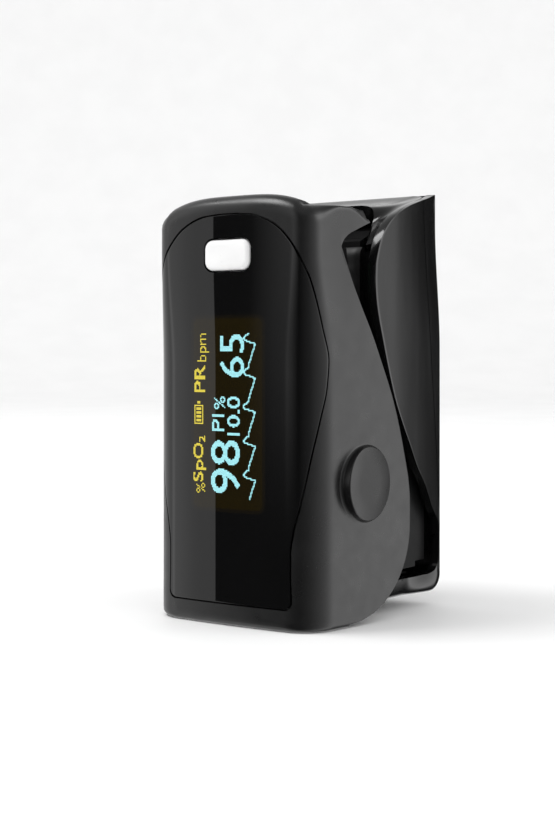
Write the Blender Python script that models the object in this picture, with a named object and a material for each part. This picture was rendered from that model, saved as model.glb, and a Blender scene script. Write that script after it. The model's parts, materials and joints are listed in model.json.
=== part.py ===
"""Fingertip pulse oximeter standing on its squeeze end: a display half and a battery half on a sprung hinge.

Shapes are worked out in millimetres as (x, depth, height): x across, depth back from the button's face,
height up from the floor. place() turns them into metres with the depth centred on y = 0.
"""
import math

import bmesh
import bpy
import numpy as np
from mathutils import Matrix, Vector

for old in list(bpy.data.objects):
    bpy.data.objects.remove(old)

# Overall sizes
DEPTH = 32.5
PIVOT = (11.4, 18.5)  # depth and height of the hinge axis
OPEN_FACE = 0.4  # depth of the display half's front at its middle
CROWN = 0.3  # how far the front falls away before its round corners

# Display half
WALL = 1.4
FRONT_WALL = 2.1
FRONT_TOP = 56.2
WING_TOP = 54.5
ROOF = 54.2  # where the top wall ends, behind its front edge
SIDE_LEAN = 0.14
LAST_ANGLE = math.radians(82)
BOSS_RADIUS = 4.9
BOSS_STEP = 1.4  # how far the boss stands out at its front
FRONT_RIM = (  # height, depth of the rim behind the cheeks, above the round lower corner
    (12.5, 20.5), (15.7, 20.5), (18.4, 20.2), (21.7, 19.4), (25.2, 18.4), (29.2, 17.0),
    (34.3, 14.6), (37.8, 12.8), (41.7, 10.5), (44.9, 8.8), (47.4, 7.5), (48.4, 7.05), (49.2, 7.0),
    (49.9, 7.3), (50.5, 7.8), (51.0, 8.5), (51.5, 9.6), (52.1, 11.0), (52.7, 12.5), (53.1, 13.6),
)
PANEL = (  # height, half width across the face plate
    (3.0, 8.9), (3.3, 9.5), (4.0, 9.8), (7.0, 9.7), (10.0, 9.7), (13.3, 10.2), (16.3, 10.95),
    (22.0, 12.0), (27.0, 12.8), (31.0, 13.25), (34.5, 13.35), (38.5, 13.0), (44.7, 12.1), (46.5, 11.5),
    (48.6, 10.5), (50.3, 9.2), (51.6, 7.8), (52.6, 6.0), (53.2, 4.2), (53.45, 2.6), (53.5, 1.2),
)
PANEL_THICK = 0.9
BUTTON = (7.3, 4.05, 48.3)  # width, height, centre height
SCREEN = (11.2, 15.25, 40.05)  # width, bottom, top

# Battery half
BACK_WALL = 1.2
SIDE_HALF = 15.2
REAR_FLOOR = 1.9
REAR_RIM = (  # height, depth of the rim in front of the side walls
    (4.5, 20.0), (4.65, 28.3), (5.4, 30.0), (7.2, 30.7), (11.3, 30.8), (14.1, 28.5), (17.2, 26.4),
    (20.0, 23.8), (22.9, 21.8), (25.9, 19.7), (29.2, 17.7), (33.9, 15.7), (38.0, 14.2), (40.3, 13.4),
    (42.8, 12.8), (44.9, 12.6), (47.0, 12.7), (49.1, 13.3), (50.9, 14.2), (52.6, 15.8), (54.0, 17.8),
    (54.9, 19.8), (55.7, 22.1), (56.6, 25.6), (57.3, 28.6), (57.9, 30.9),
)
SEAM = ((8.0, 31.7), (21.8, 30.0), (38.7, 27.8), (45.0, 27.2), (56.6, 26.2), (60.0, 25.9))
CELL_RADIUS = 5.25
CELL_LENGTH = 43.7
CELL_CENTRE = (5.45, 25.75)  # x and depth of a cell's axis
CELL_BOTTOM = 6.3
FLOOR = (19.2, 20.2)  # depths of the plate between finger and cells
MOUTH = (  # x, depth, height along the outer and the inner edge of the mouth, from its middle to one side
    ((0.0, 30.0, 57.8), (0.0, 23.0, 56.1)),
    ((5.0, 30.0, 57.8), (4.0, 23.0, 56.1)),
    ((9.3, 29.8, 57.7), (6.6, 22.9, 56.0)),
    ((11.4, 28.7, 57.3), (8.1, 22.5, 55.7)),
    ((12.6, 26.2, 56.6), (8.8, 22.1, 55.0)),
    ((13.1, 22.2, 55.5), (9.0, 21.8, 54.0)),
    ((13.4, 18.4, 54.1), (9.2, 20.8, 52.6)),
    ((13.4, 15.6, 52.0), (9.6, 19.4, 51.0)),
)


def smooth_step(low, high, value):
    t = min(1.0, max(0.0, (value - low) / (high - low)))
    return t * t * (3 - 2 * t)


def follow(table, value):
    """The table's second column at this value of its first."""
    return float(np.interp(value, [a for a, _ in table], [b for _, b in table]))


def place(x, depth, height):
    return (x * 0.001, (depth - DEPTH / 2) * 0.001, height * 0.001)


def material(name, colour, roughness, metallic=0.0):
    made = bpy.data.materials.new(name)
    made.use_nodes = True
    shader = made.node_tree.nodes["Principled BSDF"]
    shader.inputs["Base Color"].default_value = (*colour, 1)
    shader.inputs["Roughness"].default_value = roughness
    shader.inputs["Metallic"].default_value = metallic
    return made


SATIN = material("satin_black", (0.03, 0.03, 0.032), 0.42)
GLOSS = material("gloss_black", (0.012, 0.012, 0.013), 0.12)
SMOKED = material("smoked_panel", (0.008, 0.007, 0.007), 0.05)
WHITE = material("white_plastic", (0.9, 0.9, 0.9), 0.3)
SILICONE = material("black_silicone", (0.02, 0.02, 0.02), 0.6)
HOUSING = material("dark_plastic", (0.05, 0.05, 0.055), 0.5)
CLEAR = material("clear_window", (0.5, 0.1, 0.1), 0.1)
BOARD = material("circuit_board", (0.02, 0.12, 0.05), 0.5)
STEEL = material("steel", (0.6, 0.6, 0.6), 0.3, 1.0)
NICKEL = material("nickel", (0.65, 0.62, 0.55), 0.3, 1.0)
CELL = material("cell_jacket", (0.35, 0.12, 0.03), 0.35)
CHIP = material("chip_black", (0.03, 0.03, 0.03), 0.4)


def new_object(name, points, faces, look, smooth=False):
    """One object from points in millimetres, with doubled points merged and its faces turned outwards."""
    shape = bmesh.new()
    verts = [shape.verts.new(place(*p)) for p in points]
    for face in faces:
        shape.faces.new([verts[i] for i in face])
    bmesh.ops.remove_doubles(shape, verts=shape.verts, dist=2e-6)
    bmesh.ops.dissolve_degenerate(shape, edges=shape.edges, dist=1e-6)
    bmesh.ops.recalc_face_normals(shape, faces=shape.faces)
    for face in shape.faces:
        face.smooth = smooth
    mesh = bpy.data.meshes.new(name)
    shape.to_mesh(mesh)
    shape.free()
    made = bpy.data.objects.new(name, mesh)
    mesh.materials.append(look)
    bpy.context.scene.collection.objects.link(made)
    return made


def box(name, xs, depths, heights, look, bevel=0.0):
    points = [(x, d, z) for x in xs for d in depths for z in heights]
    faces = ((0, 1, 3, 2), (4, 6, 7, 5), (0, 4, 5, 1), (2, 3, 7, 6), (0, 2, 6, 4), (1, 5, 7, 3))
    made = new_object(name, points, faces, look)
    if bevel:
        rounding = made.modifiers.new("edges", "BEVEL")
        rounding.width = bevel * 0.001
        rounding.segments = 2
    return made


def prism(name, outline, span, plane, look):
    """An outline of two coordinates swept over a span. plane names the two axes that the outline is in."""
    order = {"xz": (0, 2, 1), "dz": (1, 2, 0), "xd": (0, 1, 2)}[plane]
    points = []
    for level in span:
        for a, b in outline:
            spot = [0.0, 0.0, 0.0]
            spot[order[0]], spot[order[1]], spot[order[2]] = a, b, level
            points.append(spot)
    n = len(outline)
    faces = [tuple(range(n)), tuple(range(2 * n - 1, n - 1, -1))]
    faces += [(i, (i + 1) % n, n + (i + 1) % n, n + i) for i in range(n)]
    return new_object(name, points, faces, look)


def lathe(name, profile, centre, along, look, sides=24, phase=0.0):
    """A closed (radius, position) profile turned about an axis along x, d or z through centre."""
    points = []
    for i in range(sides):
        turn = 2 * math.pi * i / sides + phase
        for radius, level in profile:
            a = centre[0] + radius * math.cos(turn)
            b = centre[1] + radius * math.sin(turn)
            points.append({"x": (level, a, b), "d": (a, level, b), "z": (a, b, level)}[along])
    n = len(profile)
    faces = []
    for i in range(sides):
        for j in range(n - 1):
            after = (i + 1) % sides
            faces.append((i * n + j, after * n + j, after * n + j + 1, i * n + j + 1))
    return new_object(name, points, tidy_faces(points, faces), look, True)


def tidy_faces(points, faces):
    """Drops the repeated corner of a face that touches the axis."""
    kept = []
    for face in faces:
        seen = {}
        for i in face:
            seen.setdefault(tuple(round(c, 5) for c in points[i]), i)
        if len(seen) > 2:
            kept.append(tuple(seen.values()))
    return kept


def apply_boolean(target, cutter, operation="DIFFERENCE"):
    """Cuts or joins now, and removes the cutter."""
    work = target.modifiers.new("cut", "BOOLEAN")
    work.operation = operation
    work.solver = "EXACT"
    work.object = cutter
    bpy.context.view_layer.update()
    graph = bpy.context.evaluated_depsgraph_get()
    mesh = bpy.data.meshes.new_from_object(target.evaluated_get(graph))
    target.modifiers.clear()
    target.data = mesh
    bpy.data.objects.remove(cutter)
    return target


def cut_box(target, xs, depths, heights):
    return apply_boolean(target, box("cutter", xs, depths, heights, CHIP))


def cut_round(target, radius, centre, span, along, sides=24):
    profile = [(0, span[0]), (radius, span[0]), (radius, span[1]), (0, span[1])]
    return apply_boolean(target, lathe("cutter", profile, centre, along, CHIP, sides, 0.1))


def add(target, piece):
    return apply_boolean(target, piece, "UNION")


def skin_between(name, outer, inner, look):
    """One closed wall between two grids of points that have the same rows and columns."""
    rows, columns = len(outer), len(outer[0])
    points = [p for row in outer for p in row] + [p for row in inner for p in row]
    shift = rows * columns
    faces = []
    for i in range(rows - 1):
        for j in range(columns - 1):
            a, b = i * columns + j, (i + 1) * columns + j
            faces.append((a, a + 1, b + 1, b))
            faces.append((shift + a, shift + b, shift + b + 1, shift + a + 1))
    edge = [i * columns for i in range(rows)]
    edge += [(rows - 1) * columns + j for j in range(1, columns)]
    edge += [i * columns + columns - 1 for i in range(rows - 2, -1, -1)]
    edge += list(range(columns - 2, 0, -1))
    for a, b in zip(edge, edge[1:] + edge[:1]):
        faces.append((a, b, shift + b, shift + a))
    return new_object(name, points, tidy_faces(points, faces), look, True)


# The display half's outer skin


def front_corner(height):
    """Radius of the front corner and where it starts, both changing up the face."""
    upper = smooth_step(33, 50, height)
    return 5.0 - 2.0 * upper, 8.93 + 1.07 * upper


def front_point(height, step, counts, rim_depth, inset):
    """A point on one half of the section: crown, round corner, then the leaning side, moved in by inset."""
    crown, corner, side = counts
    radius, start = front_corner(height)
    slope = math.atan(0.6 / start)
    centre_x = start - radius * math.sin(slope)
    centre_d = OPEN_FACE + CROWN + radius * math.cos(slope)
    if step <= crown:
        x = start * step / crown
        angle = slope * step / crown
        depth = OPEN_FACE + CROWN * (x / start) ** 2
    elif step <= crown + corner:
        angle = slope + (LAST_ANGLE - slope) * (step - crown) / corner
        x = centre_x + radius * math.sin(angle)
        depth = centre_d - radius * math.cos(angle)
    else:
        angle = LAST_ANGLE
        first_d = centre_d - radius * math.cos(angle)
        depth = first_d + (rim_depth - first_d) * (step - crown - corner) / side
        back = depth - first_d
        flare = 0.5 * smooth_step(34, 48, height) * smooth_step(0, 9, back)
        x = centre_x + radius * math.sin(angle) + SIDE_LEAN * back + flare
    return x - inset * math.sin(angle), depth + inset * math.cos(angle)


def front_rim(height):
    if height < 12.5:
        return 8.4 + 12.1 * math.sqrt(max(0.0, 1 - ((12.5 - height) / 12) ** 2))
    return follow(FRONT_RIM, height)


def front_top(x, depth):
    """Height of the top edge at this place on the wall."""
    side = WING_TOP - 1.6 * smooth_step(8.5, 12.5, depth)
    front = max(WING_TOP, FRONT_TOP - 2.0 * (abs(x) / 12) ** 3.5)
    return front + (side - front) * smooth_step(2.0, 4.0, depth)


def front_skin(inset, side_inset, heights, counts, floor, highest):
    """Rows of points over bottom wall, sides and front, and top wall. floor is the bottom wall's level."""
    last = sum(counts)
    curl = 1.0 if inset == 0 else 0.3
    rows = []
    plan = [(floor, curl, 0.0)]
    plan += [(floor + curl * (1 - math.sin(a)), curl * (1 - math.cos(a)), 0.0) for a in (1.05, 0.5)]
    plan += [(height, 0.0, 0.0) for height in heights]
    plan += [(highest, 0.0, 0.0)]
    plan += [(highest, 1 - math.cos(a), 1 - math.sin(a)) for a in (0.45, 0.9, math.pi / 2)]
    for number, (height, extra, drop) in enumerate(plan):
        half = []
        over_top = number > 3 + len(heights)
        for step in range(last + 1):
            share = smooth_step(counts[0] + counts[1] - 3, counts[0] + counts[1] + 1, step)
            own = inset + (side_inset - inset) * share
            x, depth = front_point(height, step, counts, front_rim(height), own)
            lift = smooth_step(40, highest, height) if step < last else 0.0
            round_over = 2.2 - 1.8 * smooth_step(2.5, 7, depth)
            if inset:
                round_over = 0.3
            top = front_top(x, depth) - own - round_over
            level = height + lift * (top - highest)
            shift = own + extra * (round_over if over_top else 1.0)
            x, depth = front_point(level, step, counts, front_rim(height), shift)
            if over_top:
                level += round_over * (1 - drop)
            half.append((x, depth, level))
        rows.append(half)
    rows = [closing_row(rows[0], 8.4, share) for share in (1.0, 0.5)] + rows
    rows += [closing_row(rows[-1], 9.0, share, ROOF - inset) for share in (0.4, 0.75, 1.0)]
    return [[(-x, d, z) for x, d, z in row[:0:-1]] + row for row in rows]


def closing_row(row, middle, share, level=100.0):
    """The row drawn back to a line across the half, and down to level, as its bottom or top wall."""
    end_x, end_d, _ = row[-1]
    made = []
    for x, depth, height in row:
        line = middle + (end_d - middle) * min(1.0, x / end_x) ** 4
        sunk = height - max(0.0, height - level) * smooth_step(0, 0.75, share)
        made.append((x, depth + share * (line - depth), sunk))
    return made


def front_shell():
    heights = (2.4, 4.5, 7.5, 10.5, 14, 18.5, 23, 28, 33, 38, 42, 45.5, 48.2, 49.6, 50.6, 51.3, 52.0)
    counts = (4, 5, 6)
    outer = front_skin(0.0, 0.0, heights, counts, 0.0, 52.6)
    inner_heights = [WALL + 0.4 + (height - 1.2) * 0.962 for height in heights]
    inner = front_skin(FRONT_WALL, WALL, inner_heights, counts, WALL, 51.6)
    shell = skin_between("front_shell", outer, inner, SATIN)
    for side in (-1, 1):
        add(shell, boss(side))
        profile = [(0, 1.9), (2.3, 1.9), (2.3, 10.4), (0, 10.4)]
        add(shell, lathe("post", profile, (side * 7.0, 8.2), "d", SATIN))
        cut_round(shell, 0.95, (side * 7.0, 8.2), (4.0, 12.0), "d", 16)
    recess = panel_body("cutter", 0.32, -0.8, PANEL_THICK + 0.3, CHIP)
    apply_boolean(shell, recess)
    width, tall, centre = BUTTON
    half, reach = width / 2 + 0.2, tall / 2 + 0.2
    cut_box(shell, (-half, half), (0, 4), (centre - reach, centre + reach))
    cut_box(shell, (-SCREEN[0] / 2, SCREEN[0] / 2), (0, 4), (SCREEN[1], SCREEN[2]))
    return shell


def side_at(depth):
    """x of the leaning side on the lower half."""
    x, first_d = front_point(20, 2, (1, 1, 1), 20, 0)
    return x + SIDE_LEAN * (depth - first_d)


def boss(side):
    """The raised disc over the hinge. Its face is upright and meets the leaning cheek at the back."""
    face = side_at(PIVOT[0] - BOSS_RADIUS) + BOSS_STEP
    sides = 32
    points = []
    for i in range(sides):
        turn = 2 * math.pi * i / sides
        across, up = math.cos(turn), math.sin(turn)
        ring = boss_profile(face, across)
        points += [(side * x, PIVOT[0] + r * across, PIVOT[1] + r * up) for r, x in ring]
    n = len(ring)
    faces = []
    for i in range(sides):
        for j in range(n - 1):
            after = (i + 1) % sides
            faces.append((i * n + j, after * n + j, after * n + j + 1, i * n + j + 1))
    return new_object("boss", points, tidy_faces(points, faces), SATIN, True)


def boss_profile(face, across):
    """(radius, x) from inside the wall, out over the fillet and up to the face, in one direction."""
    step = face - side_at(PIVOT[0] + BOSS_RADIUS * across)
    edge, fillet = min(0.25, 0.6 * step), min(0.5, 0.5 * step)
    ring = [(0, side_at(PIVOT[0]) - 0.9)]
    foot = ((1.1, -0.9), (1.0, -0.12), (0.35, 0.25 * fillet), (0.0, fillet))
    for out, level in foot:
        radius = BOSS_RADIUS + out
        ring.append((radius, side_at(PIVOT[0] + radius * across) + level))
    return ring + [(BOSS_RADIUS, face - edge), (BOSS_RADIUS - edge, face), (0, face)]


# The face plate


def panel_point(height, share, margin, offset):
    """A point on the face at a share of the plate's half width, moved in by offset."""
    radius, start = front_corner(height)
    slope = math.atan(0.6 / start)
    centre_x = start - radius * math.sin(slope)
    low, high = PANEL[0][0] - margin, PANEL[-1][0] + margin
    inside = PANEL[0][0] + (height - low) / (high - low) * (PANEL[-1][0] - PANEL[0][0])
    edge = follow(PANEL, inside)
    if edge > start:
        reach = start + radius * (math.asin((edge - centre_x) / radius) - slope)
    else:
        reach = edge
    along = abs(share) * (reach + margin)
    if along > start:
        angle = slope + (along - start) / radius
        x = centre_x + radius * math.sin(angle)
        depth = OPEN_FACE + CROWN + radius * math.cos(slope) - radius * math.cos(angle)
    else:
        angle = slope * along / start
        x = along
        depth = OPEN_FACE + CROWN * (along / start) ** 2
    side = -1 if share < 0 else 1
    return side * (x - offset * math.sin(angle)), depth + offset * math.cos(angle), height


def panel_body(name, margin, front, back, look):
    """The plate between two offsets from the face, larger all round by margin."""
    low, high = PANEL[0][0] - margin, PANEL[-1][0] + margin
    scale = (high - low) / (PANEL[-1][0] - PANEL[0][0])
    levels = [low + (height - PANEL[0][0]) * scale for height, _ in PANEL]
    shares = [i / 8 for i in range(-8, 9)]
    outer = [[panel_point(level, share, margin, front) for share in shares] for level in levels]
    inner = [[panel_point(level, share, margin, back) for share in shares] for level in levels]
    return skin_between(name, outer, inner, look)


def faceplate():
    plate = panel_body("faceplate", 0.0, 0.0, PANEL_THICK, SMOKED)
    width, tall, centre = BUTTON
    half, reach = width / 2 + 0.25, tall / 2 + 0.25
    cut_box(plate, (-half, half), (-1, 4), (centre - reach, centre + reach))
    return plate


# The battery half's outer skin


def rear_side(depth, lower):
    return SIDE_HALF - (1.7 - 0.75 * lower) * (max(0.0, depth - 17) / 14.5) ** 2


def rear_point(height, step, counts, rim_depth, inset, back_inset):
    """A point on one half of the battery half's section, from the middle of its back to its rim."""
    crown, corner, side = counts
    lower = 1 - smooth_step(36, 54, height)
    flat, radius = 12.0 + 0.75 * lower, 1.6
    if step <= crown:
        x = flat * step / crown
        angle = 0.0
        depth = DEPTH - 0.2 * (x / flat) ** 2
    elif step <= crown + corner:
        angle = math.radians(85) * (step - crown) / corner
        x = flat + radius * math.sin(angle)
        depth = DEPTH - 0.2 - radius * (1 - math.cos(angle))
    else:
        angle = math.radians(88)
        first = DEPTH - 0.2 - radius * (1 - math.cos(math.radians(85)))
        depth = first + (rim_depth - first) * (step - crown - corner) / side
        x = rear_side(depth, lower)
    narrow = 13.2 + 1.25 * smooth_step(24, 31, depth)
    x -= max(0.0, x - narrow) * (1 - smooth_step(5.5, 8, height))
    return x - inset * math.sin(angle), depth - back_inset * math.cos(angle)


def rear_skin(inset, heights, counts, floor):
    """Rows of points over the battery half's bottom wall, sides and back."""
    last = sum(counts)
    curl = REAR_RIM[0][0] - floor
    plan = []
    for angle in (math.pi / 2, 1.15, 0.8, 0.45):
        plan.append((floor + curl * (1 - math.sin(angle)), curl * (1 - math.cos(angle))))
    plan += [(height, 0.0) for height in heights]
    rows = []
    for height, extra in plan:
        half = []
        rim = follow(REAR_RIM, height) if height > REAR_RIM[0][0] else REAR_RIM[0][1]
        for step in range(last + 1):
            x, depth = rear_point(height, step, counts, rim, inset + 0.6 * extra, inset + 0.9 * extra)
            half.append((x, depth, height))
        rows.append(half)
    first = rows[0]
    rows = [bottom_row(first, share) for share in (1.0, 0.7, 0.35)] + rows
    return [[(-x, d, z) for x, d, z in row[:0:-1]] + row for row in rows]


def bottom_row(row, share):
    """The lowest row drawn forwards to even steps along the bottom wall's front edge."""
    end_x, end_d, _ = row[-1]
    made = []
    for step, (x, depth, height) in enumerate(row):
        even = end_x * step / (len(row) - 1)
        made.append((x + share * (even - x), depth + share * (end_d - depth), height))
    return made


def rear_body(name):
    heights = (
        4.5, 4.65, 5.4, 7.2, 11.3, 14.1, 17.2, 20, 22.9, 25.9, 29.2, 33.9, 38,
        41.5, 44.9, 47.5, 49.8, 51.6, 53.2, 54.6, 55.7, 56.6, 57.3, 57.9,
    )
    counts = (3, 3, 6)
    outer = rear_skin(0.0, heights, counts, REAR_FLOOR)
    inner = rear_skin(BACK_WALL, heights, counts, REAR_FLOOR + BACK_WALL)
    return skin_between(name, outer, inner, GLOSS)


def seam_outline(gap, bottom):
    line = [(depth + gap, height) for height, depth in SEAM]
    line[0] = (line[0][0], bottom)
    return line + [(40.0, 60.0), (40.0, bottom)]


def rear_shell():
    shell = rear_body("rear_shell")
    apply_boolean(shell, prism("cutter", seam_outline(-0.12, 8.0), (-20, 20), "dz", CHIP))
    for side in (-1, 1):
        profile = [(0, 2.2), (2.0, 2.2), (2.0, 4.5), (0, 4.5)]
        add(shell, lathe("post", profile, (side * 9.9, 23.2), "z", GLOSS, 20))
        cut_round(shell, 0.85, (side * 9.9, 23.2), (2.9, 6.0), "z", 16)
    return shell


def battery_cover():
    cover = rear_body("battery_cover")
    keep = prism("cutter", seam_outline(0.12, 8.3), (-20, 20), "dz", CHIP)
    apply_boolean(cover, keep, "INTERSECT")
    cut_round(cover, 5.5, (0, 46), (DEPTH - 0.45, DEPTH + 2), "d", 32)
    for i in range(3):
        grip = 20.0 + 2.2 * i
        cut_box(cover, (-7, 7), (DEPTH - 0.45, DEPTH + 1), (grip, grip + 1.0))
    return cover


def mouth_frame():
    """The flared frame round the finger opening on the battery half."""
    shares = (0.0, 0.3, 0.65, 1.0)
    outer, inner = [], []
    for share in shares:
        front, back = [], []
        for (x0, d0, z0), (x1, d1, z1) in MOUTH:
            bow = 0.7 * math.sin(math.pi * share)
            x = x0 + (x1 - x0) * share
            depth = d0 + (d1 - d0) * share + bow * (0.3 if x0 < 11 else 1.0)
            height = z0 + (z1 - z0) * share - bow * (1.0 if x0 < 11 else 0.0)
            front.append((x, depth, height))
            back.append((x * 0.97, depth + 0.9, height - 0.9))
        outer.append([(-x, d, z) for x, d, z in front[:0:-1]] + front)
        inner.append([(-x, d, z) for x, d, z in back[:0:-1]] + back)
    return skin_between("mouth_frame", outer, inner, GLOSS)


# Inside the display half


def front_inner_housing():
    """The carrier plate behind the display half, with the hinge ears and the sloping way in."""
    outline = (
        (-9.8, 5.2), (9.8, 5.2), (10.6, 7), (10.6, 27.2), (12.6, 29.2), (12.0, 40.0),
        (11.0, 49.4), (-11.0, 49.4), (-12.0, 40.0), (-12.6, 29.2), (-10.6, 27.2), (-10.6, 7),
    )
    plate = prism("front_inner_housing", outline, (10.8, 12.0), "xz", HOUSING)
    slope = ((11.1, 48.3), (11.8, 48.3), (11.9, 49.6), (11.0, 51.6), (10.1, 51.3), (10.9, 49.2))
    add(plate, prism("slope", slope, (-8.6, 8.6), "dz", HOUSING))
    cut_box(plate, (-8.5, 8.5), (8, 14), (15.0, 22.0))
    for side in (-1, 1):
        xs = sorted((side * 8.9, side * 10.45))
        profile = [(0, xs[0]), (3.2, xs[0]), (3.2, xs[1]), (0, xs[1])]
        add(plate, lathe("ear", profile, PIVOT, "x", HOUSING))
        cut_round(plate, 1.05, (side * 7.0, 8.2), (9, 14), "d", 16)
    cut_round(plate, 1.05, PIVOT, (-14, 14), "x")
    cut_round(plate, 3.0, (0, 38), (9, 14), "d")
    return plate


def finger_pad(name, flat, rim, hollow, heights):
    """A silicone pad, hollowed along its length for the finger, with a round hole for the light."""
    columns = 12
    half = 9.3
    outline = []
    for i in range(columns + 1):
        x = half * (2 * i / columns - 1)
        outline.append((x, rim + (hollow - rim) * (1 - (x / half) ** 2)))
    outline += [(half, flat), (-half, flat)]
    pad = prism(name, outline, heights, "xd", SILICONE)
    cut_round(pad, 2.9, (0, 38), (flat - 5, flat + 5), "d")
    return pad


def coil_spring(name, side):
    """A torsion spring on the hinge pin, with a leg up along the carrier plate."""
    wire, coil, turns, sides = 0.32, 1.95, 3.5, 6
    path = [(side * 4.4, PIVOT[0] + coil, PIVOT[1] + 6.5)]
    count = int(turns * 12)
    for i in range(count + 1):
        turn = -2 * math.pi * i / 12
        x = side * (4.4 + 0.78 * i / 12)
        path.append((x, PIVOT[0] + coil * math.cos(turn), PIVOT[1] + coil * math.sin(turn)))
    path.append((path[-1][0], path[-1][1], path[-1][2] + 6.0))
    return tube(name, path, wire, sides, STEEL)


def end_spring(name, centre_x):
    """The cone-shaped spring under a cell."""
    steps = 40
    path = []
    for i in range(steps + 1):
        turn = 2 * math.pi * i / 10
        radius = 3.4 - 1.6 * i / steps
        x, depth = centre_x + radius * math.cos(turn), CELL_CENTRE[1] + radius * math.sin(turn)
        spot = (x, depth, 5.2 + 0.8 * i / steps)
        path.append(spot)
    return tube(name, path, 0.22, 6, STEEL)


def tube(name, path, radius, sides, look):
    """A round wire along a path of points, closed at both ends."""
    spots = np.array(path, float)
    ways = np.gradient(spots, axis=0)
    ways /= np.linalg.norm(ways, axis=1)[:, None]
    across = np.cross(ways[0], (0.31, 0.52, 0.79))
    points = []
    for spot, way in zip(spots, ways):
        across = across - way * np.dot(across, way)
        across /= np.linalg.norm(across)
        other = np.cross(way, across)
        for k in range(sides):
            turn = 2 * math.pi * k / sides
            points.append(tuple(spot + radius * (across * math.cos(turn) + other * math.sin(turn))))
    faces = [tuple(range(sides - 1, -1, -1))]
    for i in range(len(path) - 1):
        for k in range(sides):
            a, b = i * sides + k, i * sides + (k + 1) % sides
            faces.append((a, b, b + sides, a + sides))
    last = (len(path) - 1) * sides
    faces.append(tuple(range(last, last + sides)))
    return new_object(name, points, faces, look, True)


def screw(name, centre, head, tip, along):
    """A pan head screw whose head ends at the first level and whose point is at the second."""
    way = 1 if tip > head else -1
    profile = [
        (0, head), (1.1, head), (1.6, head + 0.35 * way), (1.6, head + 0.9 * way),
        (0.75, head + 0.9 * way), (0.75, tip - 0.7 * way), (0, tip),
    ]
    made = lathe(name, profile, centre, along, STEEL, 20)
    for long_side, short_side in ((0.9, 0.2), (0.2, 0.9)):
        a = (centre[0] - long_side, centre[0] + long_side)
        b = (centre[1] - short_side, centre[1] + short_side)
        levels = sorted((head - 0.3 * way, head + 0.45 * way))
        if along == "d":
            cut_box(made, a, levels, b)
        else:
            cut_box(made, a, b, levels)
    return made


def display_half():
    front_shell()
    faceplate()
    width, tall, centre = BUTTON
    box("display_module", (-8.8, 8.8), (3.05, 4.3), (13.8, 41.6), CHIP, 0.2)
    box("main_board", (-9.8, 9.8), (5.3, 6.3), (12.0, 52.0), BOARD)
    box("controller_chip", (-3.5, 3.5), (6.35, 7.45), (24.0, 31.0), CHIP, 0.15)
    switch = box("tact_switch", (-2.2, 2.2), (4.0, 5.2), (centre - 2.2, centre + 2.2), NICKEL, 0.15)
    cut_round(switch, 1.2, (0, centre), (3.5, 4.9), "d")
    lathe("switch_plunger", [(0, 3.3), (0.9, 3.3), (0.9, 4.2), (0, 4.2)], (0, centre), "d", CHIP)
    half, reach = width / 2, tall / 2
    cap = box("power_button", (-half, half), (0.0, 3.2), (centre - reach, centre + reach), WHITE, 0.45)
    half, reach = half + 0.7, reach + 0.7
    flange = ((-half, half), (2.65, 3.25), (centre - reach, centre + reach))
    add(cap, box("flange", *flange, WHITE))
    front_inner_housing()
    finger_pad("front_finger_pad", 12.05, 13.6, 12.7, (27.5, 49.0))
    box("emitter_led", (-1.5, 1.5), (9.6, 10.6), (36.8, 39.2), WHITE, 0.1)
    lathe("emitter_window", [(0, 10.9), (2.6, 10.9), (2.6, 12.5), (0, 12.5)], (0, 38), "d", CLEAR)
    pin = [(0, -12.3), (0.8, -12.3), (1.0, -12.1), (1.0, 12.1), (0.8, 12.3), (0, 12.3)]
    lathe("hinge_pin", pin, PIVOT, "x", STEEL)
    coil_spring("torsion_spring_left", -1)
    coil_spring("torsion_spring_right", 1)
    screw("front_screw_left", (-7.0, 8.2), 12.95, 5.0, "d")
    screw("front_screw_right", (7.0, 8.2), 12.95, 5.0, "d")


# Inside the battery half


def rear_inner_housing():
    """The battery tray: a plate under the finger pad, walls round the cells, and the hinge arms."""
    tray = box("rear_inner_housing", (-12.6, 12.6), (FLOOR[0], 27.2), (3.45, 52.6), HOUSING)
    cut_box(tray, (-11.4, 11.4), (FLOOR[1], 30), (4.9, 51.35))
    lead_in = ((15, 49.2), (19.3, 50.9), (23.4, 52.7), (24, 56), (15, 56))
    apply_boolean(tray, prism("cutter", lead_in, (-20, 20), "dz", CHIP))
    arm = [(20.0, 27.0), (20.0, 12.0)]
    for i in range(9):
        turn = math.radians(250 - 20 * i)
        arm.append((PIVOT[0] + 3.2 * math.cos(turn), PIVOT[1] + 3.2 * math.sin(turn)))
    for side in (-1, 1):
        cheek = sorted((side * 11.5, side * 12.6))
        add(tray, box("cheek", cheek, (26.0, 29.7), (6.5, 19.0), HOUSING))
        span = sorted((side * 11.0, side * 12.1))
        add(tray, prism("arm", arm[::-1], span, "dz", HOUSING))
        cut_round(tray, 1.05, PIVOT, span_past(span), "x")
        cut_box(tray, sorted((side * 7.6, side * 14)), (18, 30), (2, 4.75))
        cut_box(tray, sorted((side * 11.2, side * 14)), (18, 30), (2, 5.75))
        cut_box(tray, sorted((side * 8.6, side * 14)), (18, 22.6), (49.4, 56))
        cut_round(tray, 0.95, (side * 9.9, 23.2), (2, 6), "z", 16)
    cut_box(tray, (-2.4, 2.4), (18, 20.0), (34.5, 41.5))
    cut_round(tray, 3.0, (0, 38), (18, 22), "d")
    return tray


def span_past(span):
    return (span[0] - 0.5, span[1] + 0.5)


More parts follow.
